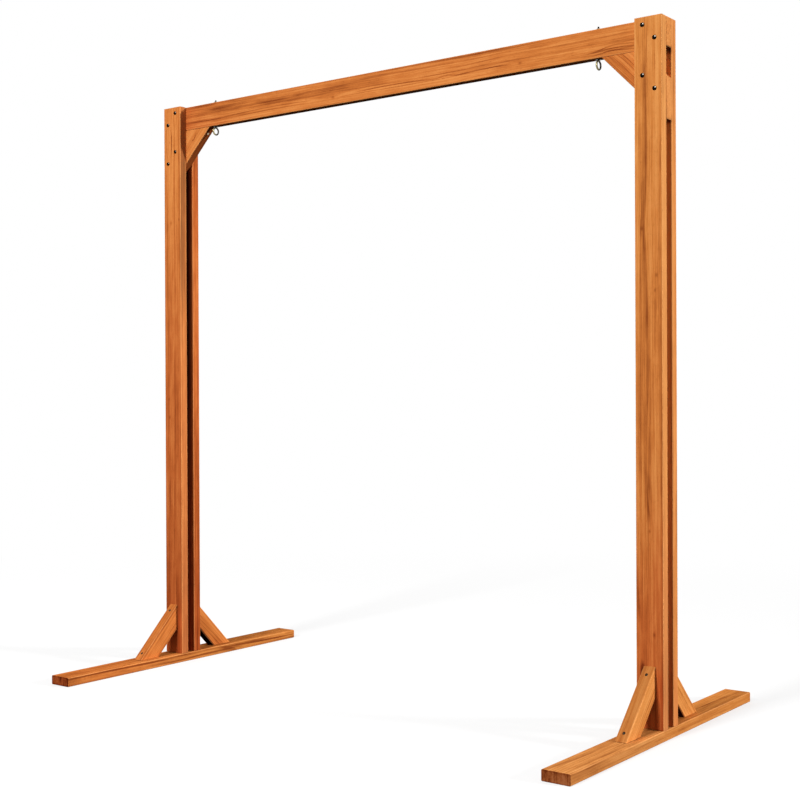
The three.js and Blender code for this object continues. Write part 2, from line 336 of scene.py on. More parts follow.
class Reading:
    """A number read from a socket. Python's arithmetic on it adds Math nodes."""

    def __init__(self, finish, socket):
        self.finish = finish
        self.socket = socket

    def __abs__(self):
        return self.finish.sum("ABSOLUTE", self)

    __add__ = arithmetic("ADD")
    __radd__ = arithmetic("ADD", reflected=True)
    __sub__ = arithmetic("SUBTRACT")
    __rsub__ = arithmetic("SUBTRACT", reflected=True)
    __mul__ = arithmetic("MULTIPLY")
    __rmul__ = arithmetic("MULTIPLY", reflected=True)
    __truediv__ = arithmetic("DIVIDE")
    __pow__ = arithmetic("POWER")


class Finish:
    """The node tree of a material or a world, under construction."""

    def __init__(self, owner):
        owner.use_nodes = True
        self.owner = owner
        self.tree = owner.node_tree
        self.tree.nodes.clear()

    def node(self, kind, settings=None, inputs=None):
        """A node of a type, with its settings made first and then its sockets set or linked."""
        made = self.tree.nodes.new(kind)
        for key, value in (settings or {}).items():
            if key == "stops":
                self.set_stops(made.color_ramp, value)
            elif key == "route":
                self.set_route(made.mapping, value)
            else:
                setattr(made, key, value)
        for key, value in (inputs or {}).items():
            if isinstance(value, Reading):
                self.tree.links.new(value.socket, made.inputs[key])
            else:
                made.inputs[key].default_value = value
        return made

    def set_stops(self, ramp, stops):
        while len(ramp.elements) < len(stops):
            ramp.elements.new(1)
        for element, (position, colour) in zip(ramp.elements, stops):
            element.position = position
            element.color = (*colour, 1)

    def set_route(self, mapping, places):
        """Leads a curve through places from 0 to 1, and level beyond its ends."""
        points = mapping.curves[0].points
        while len(points) < len(places):
            points.new(0.5, 0.5)
        for point, place in zip(points, sorted(places)):
            point.location = place
        mapping.extend = "HORIZONTAL"
        mapping.update()

    def read(self, kind, settings=None, inputs=None, output=0):
        """One output of a new node."""
        return Reading(self, self.node(kind, settings, inputs).outputs[output])

    def coordinates(self, output="Object"):
        return self.read("ShaderNodeTexCoord", output=output)

    def sum(self, operation, *values):
        return self.read("ShaderNodeMath", {"operation": operation}, dict(enumerate(values)))

    def vector(self, operation, *values, output="Vector"):
        return self.read("ShaderNodeVectorMath", {"operation": operation}, dict(enumerate(values)), output)

    def step(self, value, low, high):
        """0 below low, 1 above high and a smooth rise between them."""
        inputs = {"Value": value, "From Min": low, "From Max": high}
        return self.read("ShaderNodeMapRange", {"interpolation_type": "SMOOTHSTEP"}, inputs)

    def parts(self, vector):
        split = self.node("ShaderNodeSeparateXYZ", {}, {0: vector})
        return [Reading(self, output) for output in split.outputs]

    def noise(self, place, stretch, seed, detail=2.0, roughness=0.5):
        """Smooth noise from 0 to 1, with so many waves to the metre along each axis."""
        moved = self.vector("MULTIPLY_ADD", place, stretch, (seed, 2 * seed, 3 * seed))
        inputs = {"Vector": moved, "Scale": 1.0, "Detail": detail, "Roughness": roughness}
        return self.read("ShaderNodeTexNoise", {}, inputs)

    def soft_spot(self, *offsets):
        """1 in the middle of a spot, falling off as e to the minus sum of the squares of its offsets."""
        total = offsets[0] * offsets[0]
        for offset in offsets[1:]:
            total = total + offset * offset
        return self.sum("EXPONENT", total * -1)

    def blend(self, factor, first, second, blend_type="MIX"):
        """One colour over another by a factor."""
        settings = {"data_type": "RGBA", "blend_type": blend_type}
        return self.read("ShaderNodeMix", settings, {0: factor, 6: first, 7: second}, output=2)

    def ended(self, surface, output="ShaderNodeOutputMaterial"):
        """The material or world, with its surface joined to its output."""
        self.node(output, {}, {"Surface": surface})
        return self.owner

    def shaded(self, **sockets):
        """The material, ended with its shader, whose sockets are named with underscores for spaces."""
        inputs = {key.replace("_", " "): value for key, value in sockets.items()}
        return self.ended(self.read("ShaderNodeBsdfPrincipled", {}, inputs))


def colour(red, green, blue):
    """A linear colour from its display values, each from 0 to 255."""
    display = np.array([red, green, blue]) / 255
    linear = np.where(display > 0.04045, ((display + 0.055) / 1.055) ** 2.4, display / 12.92)
    return tuple(linear.tolist())


# Each stain from its lightest earlywood to its darkest latewood
PALE = [colour(222, 158, 96), colour(204, 133, 70), colour(142, 78, 36)]
HONEY = [colour(222, 150, 82), colour(204, 127, 61), colour(138, 70, 30)]
AMBER = [colour(220, 140, 74), colour(200, 115, 54), colour(132, 62, 26)]
RUSSET = [colour(212, 124, 64), colour(190, 98, 46), colour(122, 52, 22)]
# The posts' feet: a deeper, redder stain that also paints the shade falling off towards the floor
FOOT_STAIN_AND_SHADE = [colour(190, 98, 48), colour(162, 74, 33), colour(98, 40, 18)]
STAIN_TONES = (0.0, 0.38, 1.0)
END_GRAIN = (0.5, 0.32, 0.33)
# Painted shade: what the faces turned downwards are multiplied by
UNDERSIDE_SHADE = (0.42, 0.28, 0.26)
# Painted shade: near black on the faces in the left post's slot
PAINTED_SLOT_SHADE = (0.035, 0.011, 0.005)
# Near black: the darkest sawn ends, and painted shade in slot tops and under braces
SOAKED_AND_PAINTED_SHADE = (0.008, 0.003, 0.002)
PORE = (0.42, 0.3, 0.26)
# Worn edges, lightened also as a painted highlight
RUBBED_EDGE_AND_HIGHLIGHT = colour(235, 165, 100)
# Painted light: a pale sheen on narrow faces, and the light in the right post's slot
PAINTED_PALE_LIGHT = colour(240, 176, 108)
# Painted shade on the foot braces' slopes and a runner's sides
PAINTED_NARROW_SHADE = colour(120, 60, 25)
SWAY = 30 * MM
SEAM_FADE = 40 * MM
KNOT_PULL = 0.7
KNOT_STRETCH = 1.5
SLOT_FADE = 30 * MM


# What is drawn on a board. Its sizes are in millimetres. Its places are in the row frame, in metres: two
# numbers are the X and Z of a place on the board's front face, and three numbers are any place.


@dataclass
class Streak:
    """A run of darker grain: a soft rod along the board, with its middle at a place.

    The reach is half its length and the width half its width. The slant is its drift across the board
    over the way along it. The depth is half its thickness, or twice the width where it is 0. Some streaks
    paint shade rather than grain: those of high tone go near black in slot tops, under braces and beside a
    brace.
    """

    place: tuple
    reach: float
    width: float
    tone: float
    slant: float = 0.0
    depth: float = 0.0


@dataclass
class Seam:
    """A growth line that leads through places and fades at the first and the last of them.

    Its dark falls off over one width on its plus side and over another on its minus side.
    """

    places: list
    plus: float
    minus: float
    tone: float


@dataclass
class Knot:
    """A knot through the board, and the swell of half length and half width that it leaves in the grain."""

    place: tuple
    radius: float
    swell: tuple
    tone: float = 0.6


@dataclass
class Bold:
    """A soft patch in which the years show more strongly."""

    place: tuple
    reach: float
    width: float
    strength: float


@dataclass
class Grain:
    """How one board lay in its log, and how it took its stain.

    The pith's place is across and through the board, in metres, and its lean is its drift along it. The
    year is a year's growth in millimetres. The stains go from the board's low end to its high end, and
    each gives way to the next between two shares of the length. Rings is how dark the latewood is, tone
    how dark the rest is, end_grain how dark the sawn ends are and shade how far painted shade darkens the
    underside. Its sides and ends are blended by a share, side_share, towards side_light_and_shade: a
    painted sheen where that colour is pale, painted shade where it is dark. Slot is how far the face in
    the slot behind the board, or in front of it where it is below 0, takes slot_light_and_shade: painted
    light in the right post's slot, painted shade in the left post's. Front is the Y of its front face.
    """

    seed: float
    stains: tuple
    turns: tuple = ()
    pith: tuple = (0.12, 0.0)
    lean: tuple = (0.004, 0.0)
    year: float = 4.0
    rings: float = 0.5
    tone: float = 0.3
    end_grain: float = 0.9
    side_share: float = 0.0
    side_light_and_shade: tuple = PAINTED_PALE_LIGHT
    shade: float = 1.0
    slot: float = 0.0
    slot_light_and_shade: tuple = PAINTED_PALE_LIGHT
    front: float = -0.016
    features: list = field(default_factory=list)


class Timber(Finish):
    """Stained, matt timber, read in its board's own axes: along the board, across it and through it.

    Its years are cylinders round the pith, bent by slow noise and swollen round knots, so that they
    show as straight grain, arches or end rings according to how a face cuts them.
    """

    def __init__(self, name, origin, axes, size, grain):
        super().__init__(bpy.data.materials.new(name))
        self.origin = Vector(origin)
        self.axes = axes
        self.size = size
        self.grain = grain
        self.turn = Matrix(axes)
        inputs = {
            "Vector": self.coordinates(),
            "Rotation": self.turn.to_euler("XYZ"),
            "Location": self.turn @ -self.origin,
        }
        self.place = self.read("ShaderNodeMapping", {}, inputs)
        self.length, self.width, self.depth = self.parts(self.place)
        self.share = self.length / size[0] + 0.5

    def own_noise(self, stretch, seed, *character):
        """Noise in the board's axes, whose seed is counted from the board's."""
        return self.noise(self.place, stretch, self.grain.seed + seed, *character)

    def wander(self, stretch, seed, most):
        """Noise of the board's own that wanders about 0."""
        return (self.own_noise(stretch, seed) - 0.5) * most

    def spot(self, place):
        """A place of the row frame in the board's axes."""
        if len(place) == 2:
            place = (place[0], self.grain.front, place[1])
        return self.turn @ (Vector(place) - self.origin)

    def patch(self, along, aside, reach, width):
        """A soft spot of half length and half width in millimetres."""
        return self.soft_spot(along / (reach * MM), aside / (width * MM))

    def seam_tone(self, seam):
        """The tone that a seam adds: its own, times e to the minus square of the offset over its width."""
        marks = [self.spot(place) for place in seam.places]
        stops = [(mark[0] / self.size[0] + 0.5, mark[1] / self.size[1] + 0.5) for mark in marks]
        route = self.read("ShaderNodeFloatCurve", {"route": stops}, {"Value": self.share})
        aside = self.width - (route - 0.5) * self.size[1]
        offset = self.sum("MAXIMUM", aside / (seam.plus * MM), aside / (-seam.minus * MM))
        first, last = min(mark[0] for mark in marks), max(mark[0] for mark in marks)
        ends = self.step(self.length, first - SEAM_FADE, first + SEAM_FADE)
        ends = ends * (1 - self.step(self.length, last - SEAM_FADE, last + SEAM_FADE))
        return self.soft_spot(offset) * ends * seam.tone

    def with_features(self, across, through, boldness):
        """Where the years lie across the board, how bold they are and how dark it is, with its features."""
        darker = self.grain.tone
        for feature in self.grain.features:
            if isinstance(feature, Seam):
                darker = darker + self.seam_tone(feature)
                continue
            at = self.spot(feature.place)
            along, aside = self.length - at[0], self.width - at[1]
            if isinstance(feature, Knot):
                across = across - aside * self.patch(along, aside, *feature.swell) * KNOT_PULL
                eye = self.patch(along, aside, KNOT_STRETCH * feature.radius, feature.radius)
                darker = darker + eye * feature.tone
            elif isinstance(feature, Streak):
                aside = aside - along * feature.slant
                share = along / (feature.reach * MM)
                thick = (feature.depth or 2 * feature.width) * MM
                rod = self.soft_spot(share * share, aside / (feature.width * MM), (through - at[2]) / thick)
                darker = darker + rod * feature.tone
            else:
                near = self.patch(along, aside, feature.reach, feature.width)
                boldness = boldness + near * feature.strength
        return across, boldness, darker

    def latewood(self, across, through):
        """How dark the season is: years are counted out from the pith, and each is dark before its end.

        A year's own strength is a fifth, plus four fifths of the square of its random number.
        """
        grain = self.grain
        across = across - grain.pith[0] - self.length * grain.lean[0]
        through = through - grain.pith[1] - self.length * grain.lean[1]
        years = (across * across + through * through) ** 0.5 / (grain.year * MM)
        season = self.sum("FRACT", years)
        year = self.sum("FLOOR", years)
        vigour = self.read("ShaderNodeTexWhiteNoise", {"noise_dimensions": "1D"}, {"W": year})
        late = self.step(season, 0.4, 0.92) * (1 - self.step(season, 0.94, 1.0))
        return late * (vigour * vigour * 0.8 + 0.2)

    def stained(self, tone):
        """The stain at a tone, as one stain of the board gives way to the next along it."""
        share = self.share + self.wander((1.3, 16, 16), 29, 0.25)
        ramps = [
            self.read("ShaderNodeValToRGB", {"stops": list(zip(STAIN_TONES, stain))}, {0: tone})
            for stain in self.grain.stains
        ]
        body = ramps[0]
        for next_ramp, (begins, ends) in zip(ramps[1:], self.grain.turns):
            body = self.blend(self.step(share, begins, ends), body, next_ramp)
        return body

    def in_slot(self):
        """How far a place lies on the face in the slot: less at its long edges and towards its low end."""
        inner = self.depth * math.copysign(1, self.grain.slot)
        face = self.step(inner, self.size[2] / 2 - 2 * MM, self.size[2] / 2 - 1 * MM)
        off_edge = self.step(self.size[1] / 2 - abs(self.width), 2 * MM, SLOT_FADE)
        return face * off_edge * self.step(self.share, -0.1, 0.6)

    def finished(self):
        """The material of the board."""
        grain = self.grain

        # The years, and the fibres and clouds over them
        across = self.width + self.wander((1.3, 6, 6), 0, SWAY)
        through = self.depth + self.wander((1.3, 6, 6), 5, SWAY)
        boldness = self.step(self.own_noise((1.6, 14, 14), 7), 0.38, 0.72) * 0.9 + 0.25
        across, boldness, darker = self.with_features(across, through, boldness)
        latewood = self.latewood(across, through)
        fibre = self.own_noise((9, 520, 520), 17, 3.0, 0.6)
        pore = self.step(self.own_noise((70, 1500, 1500), 23, 1.0), 0.6, 0.72)
        clouds = self.wander((0.8, 24, 24), 11, 0.9) + self.wander((16, 50, 50), 37, 0.5)
        figure = clouds + self.wander((1.8, 130, 130), 13, 1.1) + (fibre - 0.5)

        # How dark it is, with its ends torn by the saw and burnt at their edges
        normal = self.coordinates("Normal")
        facing, sideways = (
            abs(self.vector("DOT_PRODUCT", normal, axis, output="Value")) for axis in self.axes[:2]
        )
        sawn = self.step(facing, 0.35, 0.95) * grain.end_grain
        over_width = abs(self.width) - (self.size[1] / 2 - EASED_EDGE)
        over_depth = abs(self.depth) - (self.size[2] / 2 - EASED_EDGE)
        burnt = self.step(self.sum("MAXIMUM", over_width, over_depth), -4 * MM, 2 * MM)
        end_tone = sawn * (self.wander((1, 190, 24), 41, 2.4) + burnt * 0.35)
        tone = latewood * boldness * grain.rings + figure + darker + end_tone

        # Its colour, from the stain outwards
        body = self.blend(pore * 0.5, self.stained(tone), (*PORE, 1), "MULTIPLY")
        # Near black where the tone runs past 1.1: the darkest sawn ends, and the streaks that paint shade
        body = self.blend(self.step(tone, 1.1, 2.0), body, (*SOAKED_AND_PAINTED_SHADE, 1))
        # Painted light and shade on the narrow faces: a pale sheen on beam, posts and knee, darker shade on
        # right foot braces and runner
        if grain.side_share:
            narrow = self.step(self.sum("MAXIMUM", facing, sideways), 0.5, 0.7)
            body = self.blend(narrow * grain.side_share, body, (*grain.side_light_and_shade, 1))
        body = self.blend(sawn, body, (*END_GRAIN, 1), "MULTIPLY")
        # Painted shade: faces turned downwards are darkened, by the grain's shade
        beneath = self.step(self.parts(normal)[2] * -1, 0.3, 0.8)
        body = self.blend(beneath * grain.shade, body, (*UNDERSIDE_SHADE, 1), "MULTIPLY")
        # Painted light and shade on the face in the slot: lighter in the right post's slot, near black in
        # the left post's
        if grain.slot:
            body = self.blend(self.in_slot() * abs(grain.slot), body, (*grain.slot_light_and_shade, 1))
        # The eased edges are lightened: wear, and a painted highlight along them
        edge = self.step(self.sum("MINIMUM", over_width, over_depth), 0.0, EASED_EDGE * 0.35)
        rubbed = self.step(self.own_noise((7, 60, 60), 31), 0.3, 0.7)
        body = self.blend(edge * (rubbed * 0.3 + 0.15), body, (*RUBBED_EDGE_AND_HIGHLIGHT, 1))

        rough = 0.62 + (fibre - 0.5) * 0.2 + sawn * 0.15 - edge * 0.08
        height = fibre * 0.6 + latewood * 0.5 - pore * 0.5
        relief = self.read("ShaderNodeBump", {}, {"Strength": 0.3, "Distance": 0.4 * MM, "Height": height})
        return self.shaded(Base_Color=body, Roughness=rough, Normal=relief, Specular_IOR_Level=0.0)


def coated_steel(name, coat, bare, metallic, roughness, painted_highlight=0.0, rim=1.0):
    """Coated steel. Bare metal shows in faint clouds, all over as a painted highlight, and in spots of wear
    and painted light.

    The rim is how strongly the coat mirrors at a glancing angle.
    """
    finish = Finish(bpy.data.materials.new(name))
    place = finish.coordinates()
    cloud = finish.step(finish.noise(place, (260, 260, 260), 3.0, 3.0), 0.55, 0.8)
    rubbed = finish.read("ShaderNodeAttribute", {"attribute_name": "rubbed"}, output="Fac")
    # Bare metal: all over as the knee screw's painted highlight; in spots for worn recesses that also paint
    # a glint, and eye fronts' painted light
    shown = finish.sum("MAXIMUM", cloud * 0.25 + painted_highlight, rubbed)
    body = finish.blend(shown, (*coat, 1), (*bare, 1))
    speck = finish.noise(place, (1400, 1400, 1400), 7.0)
    rough = roughness + (speck - 0.5) * 0.12
    relief = finish.read("ShaderNodeBump", {}, {"Strength": 0.1, "Distance": 0.03 * MM, "Height": speck})
    return finish.shaded(
        Base_Color=body, Roughness=rough, Metallic=metallic, Normal=relief, Specular_Tint=(rim, rim, rim, 1),
    )


# Timber pieces


def square_board(node, along, wide, deep, cutters):
    """A square-cut board that fills its node's box, its length, width and depth along three axes."""
    box = extent(node)
    axes = [along, wide, deep]
    size = [abs(box.size.dot(axis)) for axis in axes]
    half, side = size[0] / 2, size[1] / 2
    corners = [(-half, -side), (half, -side), (half, side), (-half, side)]
    eased = [EASED_EDGE, EASED_END, EASED_EDGE, EASED_END]
    mesh = drilled(board_mesh(f"{node}_timber", corners, eased, size[2], box.middle, axes), cutters)
    stain = Timber(f"{node}_stain", box.middle, axes, size, GRAINS[node]).finished()
    piece_of(f"{node}_timber", mesh, stain, node)


def brace(node, level, side, up, width, cutters):
    """A brace cut at 45 degrees, in the plane of a level axis and the upright.

    Side is where its post is along the level axis, 1 or -1, and there it is cut upright. At its tip it is
    cut level, at the top where up is 1 and at the bottom where it is -1. Its grain runs along its slope.
    """
    box = extent(node)
    low, high = box.low.dot(level), box.high.dot(level)
    tip, post = (low, high) if side > 0 else (high, low)
    near, far = (box.high.z, box.low.z) if up > 0 else (box.low.z, box.high.z)
    cut = width * math.sqrt(2)
    outline = [(tip, near), (post, far), (post, far + up * cut), (tip + side * cut, near)]
    if side * up < 0:
        outline = outline[::-1]
    eased = [EASED_EDGE, EASED_CUT, EASED_EDGE, EASED_CUT]
    deep = level.cross(UP)
    depth = abs(box.size.dot(deep))
    centre = deep * box.middle.dot(deep)
    mesh = drilled(board_mesh(f"{node}_timber", outline, eased, depth, centre, [level, UP, deep]), cutters)
    slope = (level * (side * up) - UP).normalized()
    corners = [level * u + UP * v for u, v in outline]
    heart = sum(corners, Vector()) / len(corners) + centre
    length = 2 * max(abs(slope.dot(corner + centre - heart)) for corner in corners)
    axes = [slope, deep.cross(slope), deep]
    stain = Timber(f"{node}_stain", heart, axes, (length, width, depth), GRAINS[node]).finished()
    piece_of(f"{node}_timber", mesh, stain, node)


def hole(centre, direction, reach, diameter):
    """The cutter of a plain round hole, from so far behind a point to as far ahead of it."""
    radius = diameter / 2 + BORE_CLEARANCE
    rim, height = profile([(0, -reach), (radius, -reach), (radius, reach), (0, reach)])
    return turned(rim[:, None], height, centre, direction)


def screw_hole(head, direction, length):
    """The cutter of a countersunk screw's hole, from outside the face to the screw's tip."""
    grown = BORE_CLEARANCE
    wide, slim = SCREW_HEAD / 2 + grown, SCREW / 2 + grown
    rim, height = profile([
        (0, -SCREW_HEAD), (wide, -SCREW_HEAD), (wide, SCREW_HEAD_LIP + grown),
        (slim, SCREW_HEAD_DEPTH + grown), (slim, length - SCREW_TIP), (0, length + grown),
    ])
    return turned(rim[:, None], height, head, direction)


def screw_place(node, direction):
    """Where a screw's head is and how long the screw is, from its node's box and its direction.

    Along each axis, a tilted disc reaches past its middle by its radius times the sine of the angle
    between that axis and the direction. The box's near side is that far outside the head's middle.
    """
    box = extent(node)
    head = Vector(box.middle)
    length = 0
    for i in range(3):
        if abs(direction[i]) > 1e-6:
            near, far = (box.low[i], box.high[i]) if direction[i] > 0 else (box.high[i], box.low[i])
            reach = SCREW_HEAD / 2 * math.sqrt(max(0, 1 - direction[i] ** 2))
            head[i] = near + math.copysign(reach, direction[i])
            length = max(length, (far - head[i]) / direction[i])
    return head, length


def screws_of(side_name):
    """Every screw of one side of the stand as (node, direction), heads outwards."""
    side = SIDES[side_name]
    found = [(f"knee_brace_{side_name}_screw", (ACROSS * side + UP).normalized())]
    for end, front in ENDS.items():
        found.append((f"post_foot_screw_{end}_{side_name}", UP))
        inward = -(BACK * front + UP).normalized()
        found += [(f"foot_brace_{end}_{side_name}_{place}_screw", inward) for place in ("upper", "lower")]
    return found


def screw_holes(side_name):
    """The cutter of each screw of one side, by the screw's node."""
    cutters = {}
    for node, direction in screws_of(side_name):
        head, length = screw_place(node, direction)
        cutters[node] = screw_hole(head, direction, length)
    return cutters


def bolts_of(side_name, pairs=("beam", "knee")):
    return [f"{pair}_bolt_{place}_{side_name}" for pair in pairs for place in ("inner", "outer")]


def bolt_holes(nodes):
    """Cutters for through-bolts."""
    boxes = [extent(node) for node in nodes]
    return [hole(box.middle, BACK, box.size.y, BOLT) for box in boxes]


